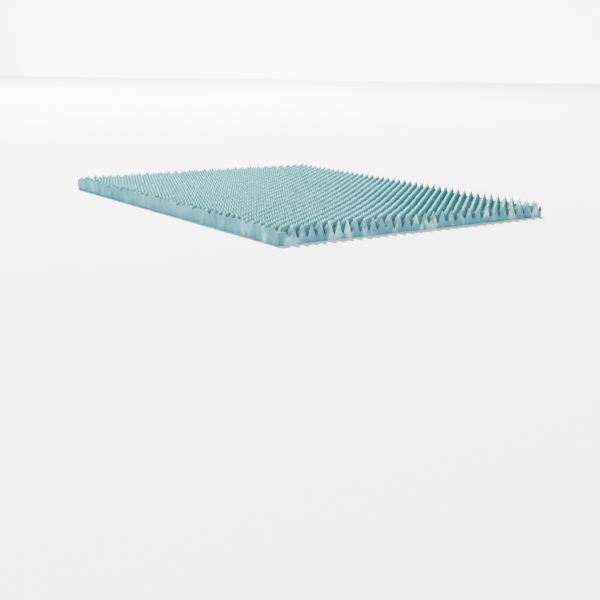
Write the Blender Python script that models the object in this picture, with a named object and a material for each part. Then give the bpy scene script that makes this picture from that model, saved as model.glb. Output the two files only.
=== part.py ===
"""Convoluted foam mattress topper, queen size: one foam slab, flat below and toothed above.

Metres, +Z up. The origin is the middle of the flat underside. X runs across the slab and
Y along it, with the foot end at -Y and the head end at +Y.

The teeth stand in staggered rows: each tip has four pits beside it and four more tips
diagonally across from it. A place in this pattern is given in pitches, as (across, along),
where (0, 0) is the leftmost tip on the foot face if nothing bends the pattern. The rollers
drew the sheet askew: on the left, its rows bend towards the head end, and its columns lean
to the right. The four cut faces run straight through this.
"""
import math

import bmesh
import bpy

# Driving dimensions
WIDTH = 1.524            # from the left face to the right face
LENGTH = 2.032           # from the foot face to the head face
HEIGHT = 0.081           # underside to the tips of the teeth
FLOOR_LAYER = 0.016      # solid foam left under the deepest pits

# The pattern of the teeth, in pitches
PITCHES_ACROSS = 30      # from the first row of tips to the right face, which cuts a row
PITCHES_ALONG = 41       # from the foot face to the head face, which both cut a row
LEFT_MARGIN = 0.25       # from the left face to the first row of tips at the foot
STEPS_PER_PITCH = 2      # one step from a tip to the next pit
INNER_PIT = 0.25         # share of the tooth height at which the inner pits end: the real ones
                         # go down to 0 between saddles at a half, which is as much air

# Unevenness, in pitches
ROW_BEND = 6.0           # how far the rows have moved towards the head end at the left
BEND_START = 18.0        # distance from the left at which that bend starts
ROW_SPREAD = 0.1         # how much further apart the rows are at the left
COLUMN_LEAN = 3.4        # how far the columns have moved to the right at the left
LEAN_END = 26.0          # distance from the foot at which that lean ends
CUT_WANDER = 0.04        # how far the cuts stray off a row of tips
WANDER_PERIOD = 6.5      # length of one such stray

# The left face cuts lengthways through the flanks of the teeth, so its top is nearly level
LEFT_TOP = 0.72          # height of that top, as a share of the tooth height
LEFT_RIPPLE = 0.06       # how far it rises beside a tip and falls beside a pit
LEFT_DENT = 0.42         # height left at a dent
FIRST_DENT = 1.9         # distance of the first dent from the foot face
DENT_SPACING = 3.06      # distance from one dent to the next
CORNER_TOOTH = 0.5       # the teeth at its two corners are cut down to this share

# Worked out from the above
TOOTH_HEIGHT = HEIGHT - FLOOR_LAYER
PITCH_ACROSS = WIDTH / (PITCHES_ACROSS + LEFT_MARGIN)
PITCH_ALONG = LENGTH / PITCHES_ALONG
HALF_STEP = 0.5 / STEPS_PER_PITCH
EXTRA_ROWS = math.ceil(ROW_BEND)                   # these pitches come in by the bend
EXTRA_COLUMNS = math.ceil(COLUMN_LEAN) + 1         # and these by the lean
COLUMNS = (PITCHES_ACROSS + EXTRA_COLUMNS) * STEPS_PER_PITCH
ROWS = (PITCHES_ALONG + EXTRA_ROWS) * STEPS_PER_PITCH
LEFT_STEP = (1.0 + ROW_SPREAD) / STEPS_PER_PITCH   # from one point to the next on the left

PIT_TOP = FLOOR_LAYER + TOOTH_HEIGHT * 0.3         # no pit rises above this
SAME_PLACE = 0.00001                               # points this near are one point, metres

FOAM_COLOUR = (0.26, 0.52, 0.58, 1.0)
FOAM_ROUGHNESS = 0.9


def clear_scene():
    for old in list(bpy.data.objects):
        bpy.data.objects.remove(old, do_unlink=True)


def foam_material():
    material = bpy.data.materials.new("blue_foam")
    material.use_nodes = True
    shader = material.node_tree.nodes["Principled BSDF"]
    shader.inputs["Base Color"].default_value = FOAM_COLOUR
    shader.inputs["Roughness"].default_value = FOAM_ROUGHNESS
    shader.inputs["Metallic"].default_value = 0.0
    return material


def ramp(phase):
    """A saw wave: 1 at whole numbers, 0 halfway between them."""
    return abs(2.0 * (phase % 1.0) - 1.0)


def tooth_share(across, along):
    """Height of the teeth at a place in the pattern: 1 on a tip, 0 in a pit."""
    return (ramp(across + along) + ramp(across - along)) / 2.0


def lean(along):
    """How far the columns have moved to the right at the left face, in pitches."""
    risen = min(max(along / LEAN_END, 0.0), 1.0)
    return COLUMN_LEAN * math.sin(math.pi / 2 * risen)


def bend(across):
    """0 where the rows run straight, rising to 1 at the left face."""
    left = max(0.0, 1.0 - across / BEND_START)
    return left * left * (3.0 - left) / 2.0


def slab_place(across, along):
    """Where a place in the pattern comes to lie on the slab, in pitches."""
    moved_across = across + lean(along) * (1.0 - across / PITCHES_ACROSS)
    moved_across = -LEFT_MARGIN if moved_across < 0.0 else moved_across
    bent = bend(moved_across)
    return moved_across, along * (1.0 + ROW_SPREAD * bent) + ROW_BEND * bent


def wander(pitches, start):
    """How far a cut strays here. Each cut starts at another part of the wave."""
    return CUT_WANDER * math.sin(math.tau * (pitches / WANDER_PERIOD + start))


def left_share(along, from_foot):
    """Height of the left face's top. A dent takes the one point that is nearest to it."""
    if (from_foot - FIRST_DENT + LEFT_STEP / 2.0) % DENT_SPACING < LEFT_STEP:
        return LEFT_DENT
    return LEFT_TOP + LEFT_RIPPLE * (2.0 * ramp(along) - 1.0)


def surface_point(column, row):
    """Place of one point of the toothed top."""
    across = column / STEPS_PER_PITCH - EXTRA_COLUMNS
    along = row / STEPS_PER_PITCH - EXTRA_ROWS
    from_left, from_foot = slab_place(across, along)

    # The points outside a cut, and the nearest ones inside it, fall together on the cut
    on_left = from_left < 0.0
    on_right = column == COLUMNS
    on_foot = from_foot < HALF_STEP
    on_head = from_foot > PITCHES_ALONG - HALF_STEP
    if on_foot:
        from_foot = 0.0
        along = wander(across, 0.0)
    if on_head:
        from_foot = PITCHES_ALONG
        along = wander(across, 1.0)

    # Inside, every point is a tip or a pit. On the cut faces, the knife strays a little off
    # a row of tips, and leaves the pits open to their full depth.
    if on_left:
        share = left_share(along, from_foot)
    elif on_right:
        share = tooth_share(across + wander(along, 1.3), along)
    elif on_foot or on_head:
        share = tooth_share(across, along)
    else:
        share = max(tooth_share(across, along), INNER_PIT)
    if (on_foot and across <= 0.0) or (on_head and on_left):
        share = CORNER_TOOTH
    x = (from_left + LEFT_MARGIN) * PITCH_ACROSS - WIDTH / 2
    y = from_foot * PITCH_ALONG - LENGTH / 2
    return x, y, FLOOR_LAYER + TOOTH_HEIGHT * share


def foam_slab():
    bm = bmesh.new()
    bmesh.ops.create_grid(bm, x_segments=COLUMNS, y_segments=ROWS, size=1.0)
    for vert in bm.verts:
        column = round((vert.co.x + 1.0) / 2.0 * COLUMNS)
        row = round((vert.co.y + 1.0) / 2.0 * ROWS)
        vert.co = surface_point(column, row)
    bmesh.ops.remove_doubles(bm, verts=bm.verts, dist=SAME_PLACE)

    # Creasing every square from pit to pit leaves a four-sided tooth round each tip
    pits = [vert for vert in bm.verts if vert.co.z < PIT_TOP]
    bmesh.ops.connect_verts(bm, verts=pits)

    # The cut sides go straight down from the rim, and one flat face closes the underside
    rim = [edge for edge in bm.edges if edge.is_boundary]
    sides = bmesh.ops.extrude_edge_only(bm, edges=rim)["geom"]
    for vert in sides:
        if isinstance(vert, bmesh.types.BMVert):
            vert.co.z = 0.0
    bottom_ring = [edge for edge in bm.edges if edge.is_boundary]
    bmesh.ops.contextual_create(bm, geom=bottom_ring)
    bmesh.ops.recalc_face_normals(bm, faces=bm.faces)

    mesh = bpy.data.meshes.new("topper_foam")
    bm.to_mesh(mesh)
    bm.free()
    return mesh


def build():
    clear_scene()
    collection = bpy.data.collections.new("mattress_topper")
    bpy.context.scene.collection.children.link(collection)
    mesh = foam_slab()
    mesh.materials.append(foam_material())
    collection.objects.link(bpy.data.objects.new("topper_foam", mesh))


build()
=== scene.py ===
# %% [markdown]
# # A convoluted foam mattress topper
# The topper is one slab of blue foam. A machine squeezes a thick sheet between two rollers
# with pegs while a knife splits it, and each half springs open with rows of soft teeth. The
# slab is then trimmed on four sides by a straight knife. Here that slab is one mesh with
# two materials: one for the toothed skin, and one for the faces that the straight knife cut.

# %% The frame, and the box that the slab fills
import math
import bmesh
import bpy
from mathutils import Matrix, Vector, noise


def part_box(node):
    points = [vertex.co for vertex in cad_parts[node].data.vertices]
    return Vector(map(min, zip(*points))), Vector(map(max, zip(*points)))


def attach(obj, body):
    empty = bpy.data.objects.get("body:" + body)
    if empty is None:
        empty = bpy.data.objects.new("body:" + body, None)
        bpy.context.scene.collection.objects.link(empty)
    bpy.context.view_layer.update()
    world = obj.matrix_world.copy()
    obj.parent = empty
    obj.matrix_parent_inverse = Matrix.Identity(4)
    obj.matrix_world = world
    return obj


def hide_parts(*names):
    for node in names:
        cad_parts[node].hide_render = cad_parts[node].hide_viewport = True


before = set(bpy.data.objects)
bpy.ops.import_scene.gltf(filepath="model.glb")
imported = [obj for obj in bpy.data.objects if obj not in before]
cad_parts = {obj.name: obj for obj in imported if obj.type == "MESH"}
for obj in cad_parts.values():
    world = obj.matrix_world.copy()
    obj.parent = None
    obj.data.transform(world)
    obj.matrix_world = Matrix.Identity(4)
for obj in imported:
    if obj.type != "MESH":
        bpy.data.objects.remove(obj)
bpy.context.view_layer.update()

low_corner, high_corner = [Vector(corner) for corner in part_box("topper_foam")]
WIDTH, LENGTH, HEIGHT = high_corner - low_corner
print(f"slab {WIDTH:.3f} x {LENGTH:.3f} x {HEIGHT:.3f} m")

# %% [markdown]
# ## The camera
# The photograph looks down only a little, from beyond the left foot corner. The angles and
# the distance below were found by matching the slab's corners, and the lens is a slightly
# long one. The picture is turned by less than a degree, so the camera is rolled by as much.

# %% Camera at the photograph's angle
VIEW_AZIMUTH = math.radians(-34.9)
VIEW_ELEVATION = math.radians(13.6)
VIEW_ROLL = math.radians(0.75)
VIEW_DISTANCE = 3.104
VIEW_TARGET = Vector((-1.208, -1.813, 0.0))
SENSOR_WIDTH = 36.0
LENS = 60.0


def photo_camera():
    level = math.cos(VIEW_ELEVATION)
    back = Vector((math.sin(VIEW_AZIMUTH) * level, -math.cos(VIEW_AZIMUTH) * level,
                   math.sin(VIEW_ELEVATION)))
    right = Vector((0.0, 0.0, 1.0)).cross(back).normalized()
    up = back.cross(right)
    facing = Matrix((right, up, back)).transposed().to_4x4()
    data = bpy.data.cameras.new("photo_camera")
    data.sensor_width = SENSOR_WIDTH
    data.lens = LENS
    camera = bpy.data.objects.new("photo_camera", data)
    camera.matrix_world = (Matrix.Translation(VIEW_TARGET + back * VIEW_DISTANCE)
                           @ facing @ Matrix.Rotation(VIEW_ROLL, 4, "Z"))
    bpy.context.scene.collection.objects.link(camera)
    bpy.context.scene.camera = camera
    print("camera at", [round(value, 3) for value in camera.matrix_world.translation])


photo_camera()

# %% [markdown]
# ## Floor and light
# A plain pale floor carries the slab, and far behind it a white wall closes the view. Most
# of the light comes from high beyond the head end. It catches the far side of every tooth,
# so the rows of teeth show as bright lines with shade between them. A broad lamp in front
# and a pale sky fill the shade and the two near faces.

# %% Floor and wall
PALE = (0.85, 0.85, 0.85, 1.0)
PALE_ROUGHNESS = 0.9
FLOOR_SIZE = 60.0
FLOOR_GAP = 0.0005
WALL_DISTANCE = 30.0
WALL_WIDTH = 60.0
WALL_HEIGHT = 5.0
WALL_GLOW = 6.0


def pale_sheet(name, place, glow=0.0):
    """A pale sheet with sides of 1 m, which a matrix stretches and puts in its place."""
    material = bpy.data.materials.new(name)
    material.use_nodes = True
    shader = material.node_tree.nodes["Principled BSDF"]
    shader.inputs["Base Color"].default_value = PALE
    shader.inputs["Roughness"].default_value = PALE_ROUGHNESS
    shader.inputs["Emission Color"].default_value = PALE
    shader.inputs["Emission Strength"].default_value = glow

    bm = bmesh.new()
    bmesh.ops.create_grid(bm, x_segments=1, y_segments=1, size=0.5, matrix=place)
    mesh = bpy.data.meshes.new(name)
    bm.to_mesh(mesh)
    bm.free()
    mesh.materials.append(material)
    sheet = bpy.data.objects.new(name, mesh)
    bpy.context.scene.collection.objects.link(sheet)
    print(f"{name}: middle at", [round(value, 3) for value in place.translation])
    return sheet


def wall_place():
    """Behind the slab and square to the camera."""
    centre = Vector((-math.sin(VIEW_AZIMUTH), math.cos(VIEW_AZIMUTH), 0.0)) * WALL_DISTANCE
    centre.z = WALL_HEIGHT / 2
    return (Matrix.Translation(centre) @ Matrix.Rotation(VIEW_AZIMUTH, 4, "Z")
            @ Matrix.Rotation(math.radians(90), 4, "X")
            @ Matrix.Diagonal((WALL_WIDTH, WALL_HEIGHT, 1.0, 1.0)))


floor = pale_sheet("pale_floor", Matrix.Translation((0.0, 0.0, low_corner.z - FLOOR_GAP))
                   @ Matrix.Diagonal((FLOOR_SIZE, FLOOR_SIZE, 1.0, 1.0)))
backdrop = pale_sheet("pale_backdrop", wall_place(), WALL_GLOW)

# %% Soft studio light
SKY_STRENGTH = 0.22


def soft_light(name, place, size, power):
    """A round lamp that is aimed at the origin, under the middle of the slab."""
    data = bpy.data.lights.new(name, "AREA")
    data.shape = "DISK"
    data.size = size
    data.energy = power
    lamp = bpy.data.objects.new(name, data)
    bpy.context.scene.collection.objects.link(lamp)
    aim = (-Vector(place)).to_track_quat("-Z", "Y")
    lamp.matrix_world = Matrix.Translation(place) @ aim.to_matrix().to_4x4()
    print(f"{name}: {power} W from {place}")


sky = bpy.data.worlds.new("pale_sky")
sky.use_nodes = True
background = sky.node_tree.nodes["Background"]
background.inputs["Color"].default_value = (1.0, 1.0, 1.0, 1.0)
background.inputs["Strength"].default_value = SKY_STRENGTH
bpy.context.scene.world = sky
soft_light("key_light", place=(5.0, 18.0, 18.5), size=1.5, power=63000.0)
soft_light("fill_light", place=(-16.0, -15.0, 7.0), size=10.0, power=8800.0)

# %% [markdown]
# ## The pattern of the teeth
# The teeth stand in staggered rows: each tip has four pits beside it and four more tips
# diagonally across from it. A place in the pattern is counted in pitches, across and along.
# Two sets of slanting ridges give this surface: where two ridges cross there is a tip, where
# two valleys cross there is a pit, and the average of the two is the height between them.
# Its sides are hollowed a little, because real teeth are more pointed than that average.
# Under the deepest pits lies a layer of solid foam.

# %% Pattern in pitches
PITCHES_ACROSS = 30
PITCHES_ALONG = 41
LEFT_MARGIN = 0.25
FLOOR_LAYER = 0.016
CREST = 1.05
POINTEDNESS = 1.15
pitch_across = WIDTH / (PITCHES_ACROSS + LEFT_MARGIN)
pitch_along = LENGTH / PITCHES_ALONG


def ridge(phase):
    """Height of one set of ridges: 1 on a rounded crest at whole numbers, 0 halfway."""
    return 1.0 - (2.0 * abs((phase + 0.5) % 1.0 - 0.5)) ** CREST


def tooth_share(across, along):
    """Height of the teeth at a place in the pattern: 1 on a tip, 0 in a pit."""
    return ((ridge(across + along) + ridge(across - along)) / 2.0) ** POINTEDNESS


print(f"pitch {pitch_across * 1000:.1f} mm across, {pitch_along * 1000:.1f} mm along")

# %% [markdown]
# ## The pattern is drawn askew
# Foam is soft, and the rollers drew this sheet askew. All its columns lean a little to the
# right. Its rows run nearly straight across on the right, and on the left they bend towards
# the head end while the columns come closer together. The rates below, in rows and columns
# for each pitch of the slab, were measured on the stripes in the photograph.

# %% Where the pattern lies on the slab
COLUMN_RATE = 0.912
MORE_COLUMNS = 0.19
COLUMN_LEAN = 0.14
FIRST_COLUMN = 2.34
ROW_RATE = 0.895
ROW_TILT = 0.058
ROW_BEND = 0.36
FIRST_ROW = 1.39
BEND_START = 19.0
BEND_FULL = 9.0
ROUNDS = 12


def bent(from_left):
    """Sum of the bend, which starts at BEND_START and has full strength left of BEND_FULL."""
    begun = max(0.0, BEND_START - max(from_left, BEND_FULL))
    return begun * begun / (2.0 * (BEND_START - BEND_FULL)) + max(0.0, BEND_FULL - from_left)


def columns_at(from_left):
    """The column that meets the foot face here. Columns have whole numbers."""
    return FIRST_COLUMN + COLUMN_RATE * from_left - MORE_COLUMNS * bent(from_left)


def rows_at(from_left):
    """The row that meets the foot face here."""
    return FIRST_ROW - ROW_TILT * from_left - ROW_BEND * bent(from_left)


def slab_place(across, along):
    """Where a place in the pattern lies, in pitches from the left and from the foot face.

    The bend depends on the answer, so the answer is worked out again and again until it
    settles.
    """
    lean = COLUMN_LEAN / ROW_RATE
    target = across + lean * along - FIRST_COLUMN - lean * FIRST_ROW
    from_left = 0.0
    for _ in range(ROUNDS):
        bending = (MORE_COLUMNS + lean * ROW_BEND) * bent(from_left)
        from_left = (target + bending) / (COLUMN_RATE - lean * ROW_TILT)
    return from_left, (along - rows_at(from_left)) / ROW_RATE


for distance in (0, 10, 20, 30):
    print(f"{distance} pitches from the left: column {columns_at(distance):.2f} "
          f"and row {rows_at(distance):.2f} meet the foot face")

# %% [markdown]
# ## Cut faces and small unevenness
# At the two ends the straight knife opens a notch between all the columns, and on the right
# one at the end of every slanting valley. On the left it runs lengthways through the flanks
# of the teeth, so the top of that face is nearly level, with a small dent every third row,
# and at its two corners the teeth are cut down to a low block. Inside, each tooth has its own
# height and place. Slow waves and smooth noise give this, the same on every run. All lengths
# below are in pitches, and all heights are shares of the height of a tooth.

# %% Cuts and tooth heights
CUT_WANDER = 0.04
WANDER_PERIOD = 6.5
CUT_REACH = 0.35
LEFT_TOP = 0.78
LEFT_RIPPLE = 0.05
DENT_DEPTH = 0.26
DENT_REACH = 0.3
FIRST_DENT = 1.9
DENT_SPACING = 3.06
NOTCH_VARIATION = 0.5
NOTCH_PERIOD = 1.1
CORNER_SHARE = 0.57
CORNER_ACROSS = 0.6
CORNER_ALONG = 0.3
CORNER_FADE = 0.7
TOOTH_VARIATION = 0.06
TOOTH_PERIOD = 0.9
JITTER = 0.03
JITTER_PERIOD = 1.4
ALONG_NOISE, ACROSS_NOISE, HEIGHT_NOISE, NOTCH_NOISE = 3.0, 7.0, 11.0, 17.0


def wander(pitches, start):
    """How far the cut at one end strays off its row of teeth here."""
    return CUT_WANDER * math.sin(math.tau * (pitches / WANDER_PERIOD + start))


def near_face(distance):
    """1 on a cut face, falling to 0 at CUT_REACH pitches inside it."""
    left = 1.0 - min(max(distance / CUT_REACH, 0.0), 1.0)
    return left * left * (3.0 - 2.0 * left)


def left_share(along, from_foot):
    """Height of the left face's top, with its dents."""
    offset = (from_foot - FIRST_DENT + DENT_SPACING / 2) % DENT_SPACING - DENT_SPACING / 2
    dent = max(0.0, 1.0 - abs(offset) / DENT_REACH)
    return LEFT_TOP + LEFT_RIPPLE * math.cos(math.tau * along) - DENT_DEPTH * dent


def uneven(across, along, layer, period):
    """Smooth noise between about -1 and 1. Each use reads its own layer."""
    return noise.noise(Vector((across / period, along / period, layer)))


# %% [markdown]
# ## The toothed top
# A flat grid has enough squares when each pitch holds eight of them. Every grid point is
# moved to its place in the askew pattern and lifted to the height of the teeth there. The
# grid covers more than the slab, so that the four cuts can go straight through it.

# %% Points of the top
STEPS = 8
lowest_row = math.floor(rows_at(-LEFT_MARGIN)) - 1
highest_row = math.ceil(rows_at(BEND_START) + ROW_RATE * PITCHES_ALONG) + 1
lowest_column = math.floor(columns_at(-LEFT_MARGIN) - COLUMN_LEAN * PITCHES_ALONG) - 1
highest_column = math.ceil(columns_at(PITCHES_ACROSS)) + 1
grid_columns = (highest_column - lowest_column) * STEPS
grid_rows = (highest_row - lowest_row) * STEPS


def top_point(column, row):
    """Place and tooth height of one grid point."""
    across = lowest_column + column / STEPS
    along = lowest_row + row / STEPS
    from_left, from_foot = slab_place(across, along)
    from_right = PITCHES_ACROSS - from_left
    from_head = PITCHES_ALONG - from_foot

    shifted_along = along + JITTER * uneven(across, along, ALONG_NOISE, JITTER_PERIOD)
    shifted_across = across + JITTER * uneven(across, along, ACROSS_NOISE, JITTER_PERIOD)
    share = tooth_share(shifted_across, shifted_along)

    # Each cut face draws the heights near it towards its own top edge
    share += near_face(from_right) * (ridge(across - along) - share)
    share += near_face(from_left + LEFT_MARGIN) * (left_share(along, from_foot) - share)
    for end, distance in ((0.0, from_foot), (1.0, from_head)):  # end is 1 at the head end
        column_there = columns_at(from_left) - COLUMN_LEAN * PITCHES_ALONG * end
        tooth = tooth_share(column_there, wander(from_left, end))
        shallow = max(0.0, uneven(column_there, end, NOTCH_NOISE, NOTCH_PERIOD))
        on_cut = max(tooth, NOTCH_VARIATION * shallow)
        share += near_face(distance) * (on_cut - share)
    share *= 1.0 + TOOTH_VARIATION * uneven(from_left, from_foot, HEIGHT_NOISE, TOOTH_PERIOD)

    # The low block at each of the two left corners
    in_corner = (near_face((from_left + LEFT_MARGIN - CORNER_ACROSS) * CORNER_FADE)
                 * near_face(min(from_foot, from_head) - CORNER_ALONG))
    share += in_corner * (CORNER_SHARE - share)
    return ((from_left + LEFT_MARGIN) * pitch_across + low_corner.x,
            from_foot * pitch_along + low_corner.y,
            FLOOR_LAYER + (HEIGHT - FLOOR_LAYER) * share, share)


print(f"a grid of {grid_columns} by {grid_rows} squares")

# %% [markdown]
# ## The slab
# The grid is trimmed along the four sides of the slab. Its rim is pulled straight down to the
# floor, which makes the cut sides, and one flat face closes the underside. The toothed skin
# is smooth. The edges that the knife left stay sharp, round the rim and at the corners.

# %% Slab
TOP, CUT = 0, 1      # the two materials
ON_CUT = 0.0001      # a point this near to a cut counts as on it
SHARP_ANGLE = math.radians(45)


def trim(bm):
    """Cut the grid along the four sides of the slab, and drop what lies outside."""
    for corner, sign in ((low_corner, -1.0), (high_corner, 1.0)):
        for normal in (Vector((sign, 0.0, 0.0)), Vector((0.0, sign, 0.0))):
            bmesh.ops.bisect_plane(bm, geom=bm.verts[:] + bm.edges[:] + bm.faces[:],
                                   dist=ON_CUT, plane_co=corner, plane_no=normal,
                                   clear_outer=True)


def foam_slab():
    bm = bmesh.new()
    tooth_height = bm.verts.layers.float.new("tooth_height")
    bmesh.ops.create_grid(bm, x_segments=grid_columns, y_segments=grid_rows, size=1.0)
    for vert in bm.verts:
        column = round((vert.co.x + 1.0) / 2.0 * grid_columns)
        row = round((vert.co.y + 1.0) / 2.0 * grid_rows)
        *place, vert[tooth_height] = top_point(column, row)
        vert.co = place
    trim(bm)
    for face in bm.faces:
        face.smooth = True
        face.material_index = TOP

    rim = [edge for edge in bm.edges if edge.is_boundary]
    for item in bmesh.ops.extrude_edge_only(bm, edges=rim)["geom"]:
        if isinstance(item, bmesh.types.BMVert):
            item.co.z = low_corner.z
        elif isinstance(item, bmesh.types.BMFace):
            item.material_index = CUT
    bottom_ring = [edge for edge in bm.edges if edge.is_boundary]
    underside = bmesh.ops.contextual_create(bm, geom=bottom_ring)["faces"]
    for face in underside:
        face.material_index = CUT
    bmesh.ops.recalc_face_normals(bm, faces=bm.faces)
    for edge in bm.edges:
        on_cut = [face.material_index == CUT for face in edge.link_faces]
        if any(on_cut) and (not all(on_cut) or edge.calc_face_angle() > SHARP_ANGLE):
            edge.smooth = False

    mesh = bpy.data.meshes.new("convoluted_foam")
    bm.to_mesh(mesh)
    bm.free()
    slab = bpy.data.objects.new("convoluted_foam", mesh)
    bpy.context.scene.collection.objects.link(slab)
    mesh.calc_loop_triangles()
    print(f"slab of {len(mesh.loop_triangles)} triangles, {len(underside)} underside face")
    return slab


slab = foam_slab()

# %% [markdown]
# ## Tools for the foam's materials
# Both materials are made of the same few effects, so each effect is a node group with named
# sockets that is built once. Short helpers add a node, set its values and join its inputs,
# so that nearly every node reads as one line.

# %% Helpers for nodes
# A mix of colours has more than one socket of each name, so these are known by number
MIX_FACTOR, MIX_FIRST, MIX_SECOND, MIX_RESULT = 0, 6, 7, 2


def add_node(tree, kind, inputs=None, **settings):
    """A new node. An input is either a value, or the output socket that feeds it."""
    node = tree.nodes.new(kind)
    for name, value in settings.items():
        setattr(node, name, value)
    for name, value in (inputs or {}).items():
        if isinstance(value, bpy.types.NodeSocket):
            tree.links.new(value, node.inputs[name])
        else:
            node.inputs[name].default_value = value
    return node


def calculate(tree, operation, *values):
    """The result of one sum, as a socket."""
    node = add_node(tree, "ShaderNodeMath", dict(enumerate(values)), operation=operation)
    return node.outputs[0]


def spread(tree, value, reach, result=(0.0, 1.0)):
    """Stretch a value from one range to another, and stop at both ends."""
    node = add_node(tree, "ShaderNodeMapRange", {"Value": value, "From Min": reach[0],
                    "From Max": reach[1], "To Min": result[0], "To Max": result[1]})
    return node.outputs["Result"]


def mixed(tree, factor, first, second, blend="MIX"):
    """Two colours mixed, as a socket."""
    node = add_node(tree, "ShaderNodeMix", {MIX_FACTOR: factor, MIX_FIRST: first,
                    MIX_SECOND: second}, data_type="RGBA", blend_type=blend)
    return node.outputs[MIX_RESULT]


def shaded(tree, colour, shade):
    """A colour made darker or lighter by a shade around 1, as a socket."""
    return mixed(tree, 1.0, colour, shade, "MULTIPLY")


def new_group(name, inputs, outputs):
    """An empty node group, with its two end nodes. Inputs are (name, kind, start value)."""
    tree = bpy.data.node_groups.new(name, "ShaderNodeTree")
    for socket_name, kind, start in inputs:
        socket = tree.interface.new_socket(socket_name, in_out="INPUT", socket_type=kind)
        if start is not None:
            socket.default_value = start
    for socket_name, kind in outputs:
        tree.interface.new_socket(socket_name, in_out="OUTPUT", socket_type=kind)
    return tree, tree.nodes.new("NodeGroupInput"), tree.nodes.new("NodeGroupOutput")


# %% [markdown]
# ## Foam cells
# Seen close, foam is a froth of open cells about a millimetre wide, with a larger bubble
# here and there. A Voronoi texture has just this shape: its distance is 0 in the middle of
# a cell and grows towards the thin walls. A second, coarser one is cut off so that only the
# middle of some of its cells stays, and these are the bubbles.

# %% Cells group
CELL_SIZE = 0.0011
BUBBLE_RATE = 0.22
WALL_REACH = (0.1, 0.7)
HOLLOW_REACH = (0.1, 0.5)
BUBBLE_REACH = (0.12, 0.2)


def cell_distance(tree, place, scale):
    """How far each place is from the middle of its cell, as a socket."""
    node = add_node(tree, "ShaderNodeTexVoronoi", {"Vector": place, "Scale": scale,
                    "Randomness": 1.0})
    return node.outputs["Distance"]


def foam_cells_group():
    tree, start, end = new_group(
        "foam_cells",
        [("Vector", "NodeSocketVector", None), ("Cell Size", "NodeSocketFloat", CELL_SIZE)],
        [("Height", "NodeSocketFloat"), ("Pores", "NodeSocketFloat")])
    per_metre = calculate(tree, "DIVIDE", 1.0, start.outputs["Cell Size"])
    coarse = calculate(tree, "MULTIPLY", per_metre, BUBBLE_RATE)
    fine_cells = cell_distance(tree, start.outputs["Vector"], per_metre)
    big_cells = cell_distance(tree, start.outputs["Vector"], coarse)
    walls = spread(tree, fine_cells, WALL_REACH)
    hollows = spread(tree, fine_cells, HOLLOW_REACH, (1.0, 0.0))
    bubbles = spread(tree, big_cells, BUBBLE_REACH, (1.0, 0.0))
    tree.links.new(calculate(tree, "SUBTRACT", walls, bubbles), end.inputs["Height"])
    tree.links.new(calculate(tree, "MAXIMUM", hollows, bubbles), end.inputs["Pores"])
    return tree


foam_cells = foam_cells_group()
print("group", foam_cells.name, "with", len(foam_cells.nodes), "nodes")

# %% [markdown]
# ## Cloudy tone
# The dye doesn't take quite evenly. There are broad pale and deep clouds some half a metre
# wide, and every tooth is a little paler or deeper than its neighbours. Both are smooth
# noise, at two sizes, and come out as one shade around 1 that a colour is multiplied by.
# The palest clouds also come out on their own, as patches.

# %% Cloud group
CLOUD_SCALE = 3.2
CLOUD_DETAIL = 3.0
CLOUD_ROUGHNESS = 0.55
TOOTH_TONE_SCALE = 26.0
TONE_STRENGTH = 0.06
PATCH_REACH = (0.55, 0.75)


def cloudy_tone_group():
    tree, start, end = new_group(
        "cloudy_tone",
        [("Vector", "NodeSocketVector", None),
         ("Strength", "NodeSocketFloat", TONE_STRENGTH)],
        [("Shade", "NodeSocketFloat"), ("Patches", "NodeSocketFloat")])
    clouds = add_node(tree, "ShaderNodeTexNoise", {"Vector": start.outputs["Vector"],
                      "Scale": CLOUD_SCALE, "Detail": CLOUD_DETAIL,
                      "Roughness": CLOUD_ROUGHNESS})
    tooth_tone = add_node(tree, "ShaderNodeTexNoise", {"Vector": start.outputs["Vector"],
                          "Scale": TOOTH_TONE_SCALE, "Detail": 1.0})
    both = calculate(tree, "ADD", clouds.outputs["Fac"], tooth_tone.outputs["Fac"])
    centred = calculate(tree, "SUBTRACT", both, 1.0)
    shade = calculate(tree, "MULTIPLY_ADD", centred, start.outputs["Strength"], 1.0)
    patches = spread(tree, clouds.outputs["Fac"], PATCH_REACH)
    tree.links.new(shade, end.inputs["Shade"])
    tree.links.new(patches, end.inputs["Patches"])
    return tree


cloudy_tone = cloudy_tone_group()
print("group", cloudy_tone.name, "with", len(cloudy_tone.nodes), "nodes")

# %% [markdown]
# ## What both materials share
# Each material starts with the object's own coordinates and one copy of each group. At its
# end, the shader gets the colour, shaded by the clouds and with painted shade in the pores, a
# dull surface, and two layers of relief: broad lumps, and on them the walls of the cells.

# %% Start and end of a foam material
# Painted shade for the pores: 1 on the cell walls, darker in the hollow middles of the cells.
PAINTED_PORE_SHADE = (1.0, 0.82)
PORE_ROUGHNESS = (0.86, 0.97)
FOAM_SPECULAR = 0.1
LUMP_DEPTH = 0.0012
LUMP_STRENGTH = 0.5
CELL_DEPTH = 0.0004
CELL_STRENGTH = 0.6
FULL_REACH = (0.0, 1.0)


def foam_material(name):
    """A new material with its node tree, object coordinates and the two groups."""
    material = bpy.data.materials.new(name)
    material.use_nodes = True
    tree = material.node_tree
    place = add_node(tree, "ShaderNodeTexCoord").outputs["Object"]
    cells = add_node(tree, "ShaderNodeGroup", node_tree=foam_cells)
    tree.links.new(place, cells.inputs["Vector"])
    tone = add_node(tree, "ShaderNodeGroup", node_tree=cloudy_tone)
    tree.links.new(place, tone.inputs["Vector"])
    return material, tree, place, cells, tone


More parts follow.
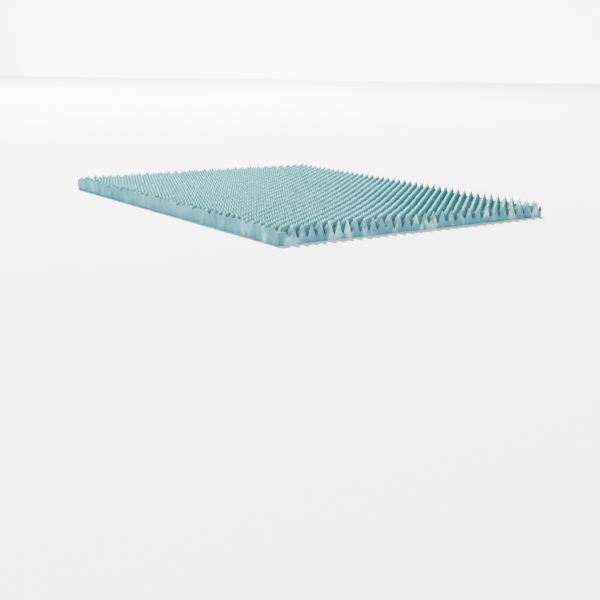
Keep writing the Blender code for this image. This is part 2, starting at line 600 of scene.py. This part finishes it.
def finish_foam(tree, colour, cells, tone, relief):
    """Feed the shader with the shaded colour, the roughness and the relief."""
    shader = tree.nodes["Principled BSDF"]
    pores = cells.outputs["Pores"]
    clouded = shaded(tree, colour, tone.outputs["Shade"])
    # Painted shade in the hollow middles of the cells, where the pores are.
    with_pore_shade = shaded(tree, clouded, spread(tree, pores, FULL_REACH, PAINTED_PORE_SHADE))
    tree.links.new(with_pore_shade, shader.inputs["Base Color"])
    roughness = spread(tree, pores, FULL_REACH, PORE_ROUGHNESS)
    tree.links.new(roughness, shader.inputs["Roughness"])
    lumps = add_node(tree, "ShaderNodeBump", {"Height": relief, "Distance": LUMP_DEPTH,
                     "Strength": LUMP_STRENGTH})
    bump = add_node(tree, "ShaderNodeBump", {"Height": cells.outputs["Height"],
                    "Distance": CELL_DEPTH, "Strength": CELL_STRENGTH,
                    "Normal": lumps.outputs["Normal"]})
    tree.links.new(bump.outputs["Normal"], shader.inputs["Normal"])
    shader.inputs["Specular IOR Level"].default_value = FOAM_SPECULAR


# %% [markdown]
# ## The toothed skin
# Shade is painted into the pits and light onto the tips: the colour is deepest down in the
# pits and palest on the tips. The slab carries the height of its teeth as an attribute, and a
# colour ramp reads it. The patches of the cloudy tone are faded a little.

# %% Toothed foam
# Colours by tooth height: painted shade deep in the pits, painted light on the tips.
PAINTED_SHADE_AND_LIGHT_COLOURS = ((0.12, (0.022, 0.048, 0.054)), (0.46, (0.038, 0.092, 0.104)),
                  (0.74, (0.085, 0.245, 0.278)), (0.96, (0.165, 0.800, 0.880)))
FADED_COLOUR = (0.28, 0.58, 0.56)
MOST_FADED = 0.12
SKIN_LUMP_SCALE = 90.0


def toothed_foam_material():
    material, tree, place, cells, tone = foam_material("toothed_foam")
    tooth = add_node(tree, "ShaderNodeAttribute", attribute_name="tooth_height")
    # This ramp paints shade into the pits and light onto the tips, by the height of the
    # teeth.
    ramp = add_node(tree, "ShaderNodeValToRGB", {"Fac": tooth.outputs["Fac"]})
    stops = ramp.color_ramp.elements
    stops.remove(stops[1])
    for index, (share, colour) in enumerate(PAINTED_SHADE_AND_LIGHT_COLOURS):
        stop = stops.new(share) if index else stops[0]
        stop.position = share
        stop.color = (*colour, 1.0)
    faded = spread(tree, tone.outputs["Patches"], FULL_REACH, (0.0, MOST_FADED))
    colour = mixed(tree, faded, ramp.outputs["Color"], (*FADED_COLOUR, 1.0))
    lumps = add_node(tree, "ShaderNodeTexNoise", {"Vector": place, "Scale": SKIN_LUMP_SCALE,
                     "Detail": 2.0})
    finish_foam(tree, colour, cells, tone, lumps.outputs["Fac"])
    return material


slab.data.materials.append(toothed_foam_material())
print("height colours:", len(PAINTED_SHADE_AND_LIGHT_COLOURS))

# %% [markdown]
# ## The cut faces
# A straight band knife leaves the sides and the underside flat, with the cells cut open and
# with marks where its teeth ran up and down. Where it tore at the foam, pale flakes stand
# up, mostly near the foot end, and deeper streaks lie between them. Both are noises that are
# squeezed along the face and stretched in height.

# %% Cut foam
CUT_COLOUR = (0.062, 0.216, 0.268)
TORN_COLOUR = (0.22, 0.56, 0.62)
TORN_REACH = (0.52, 0.63)
WORN_REACH = (-0.95, -0.35)
WORN_SHARES = (1.0, 0.25)
MARK_SCALE = (110.0, 110.0, 9.0)
MARK_REACH = (0.35, 0.65)
MARK_SHADES = (0.88, 1.06)
TEAR_SCALE = (17.0, 17.0, 9.0)
DEEP_REACH = (0.32, 0.46)
DEEP_SHADES = (0.66, 1.0)


def streaks(tree, place, scale, detail, roughness):
    """Noise that is squeezed by its own scale on each axis, as a socket."""
    squeezed = add_node(tree, "ShaderNodeMapping", {"Vector": place, "Scale": scale})
    node = add_node(tree, "ShaderNodeTexNoise", {"Vector": squeezed.outputs["Vector"],
                    "Scale": 1.0, "Detail": detail, "Roughness": roughness})
    return node.outputs["Fac"]


def cut_foam_material():
    material, tree, place, cells, tone = foam_material("cut_foam")
    marks = streaks(tree, place, MARK_SCALE, detail=2.0, roughness=0.5)
    tears = streaks(tree, place, TEAR_SCALE, detail=4.0, roughness=0.6)
    along = add_node(tree, "ShaderNodeSeparateXYZ", {"Vector": place}).outputs["Y"]
    flaky = calculate(tree, "MULTIPLY", spread(tree, tears, TORN_REACH),
                      spread(tree, along, WORN_REACH, WORN_SHARES))
    colour = mixed(tree, flaky, (*CUT_COLOUR, 1.0), (*TORN_COLOUR, 1.0))
    marked = shaded(tree, colour, spread(tree, marks, MARK_REACH, MARK_SHADES))
    deepened = shaded(tree, marked, spread(tree, tears, DEEP_REACH, DEEP_SHADES))
    finish_foam(tree, deepened, cells, tone, marks)
    return material


slab.data.materials.append(cut_foam_material())
print("materials:", [material.name for material in slab.data.materials])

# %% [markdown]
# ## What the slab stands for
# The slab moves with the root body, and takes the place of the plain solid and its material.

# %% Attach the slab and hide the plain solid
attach(slab, "root")
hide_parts("topper_foam")
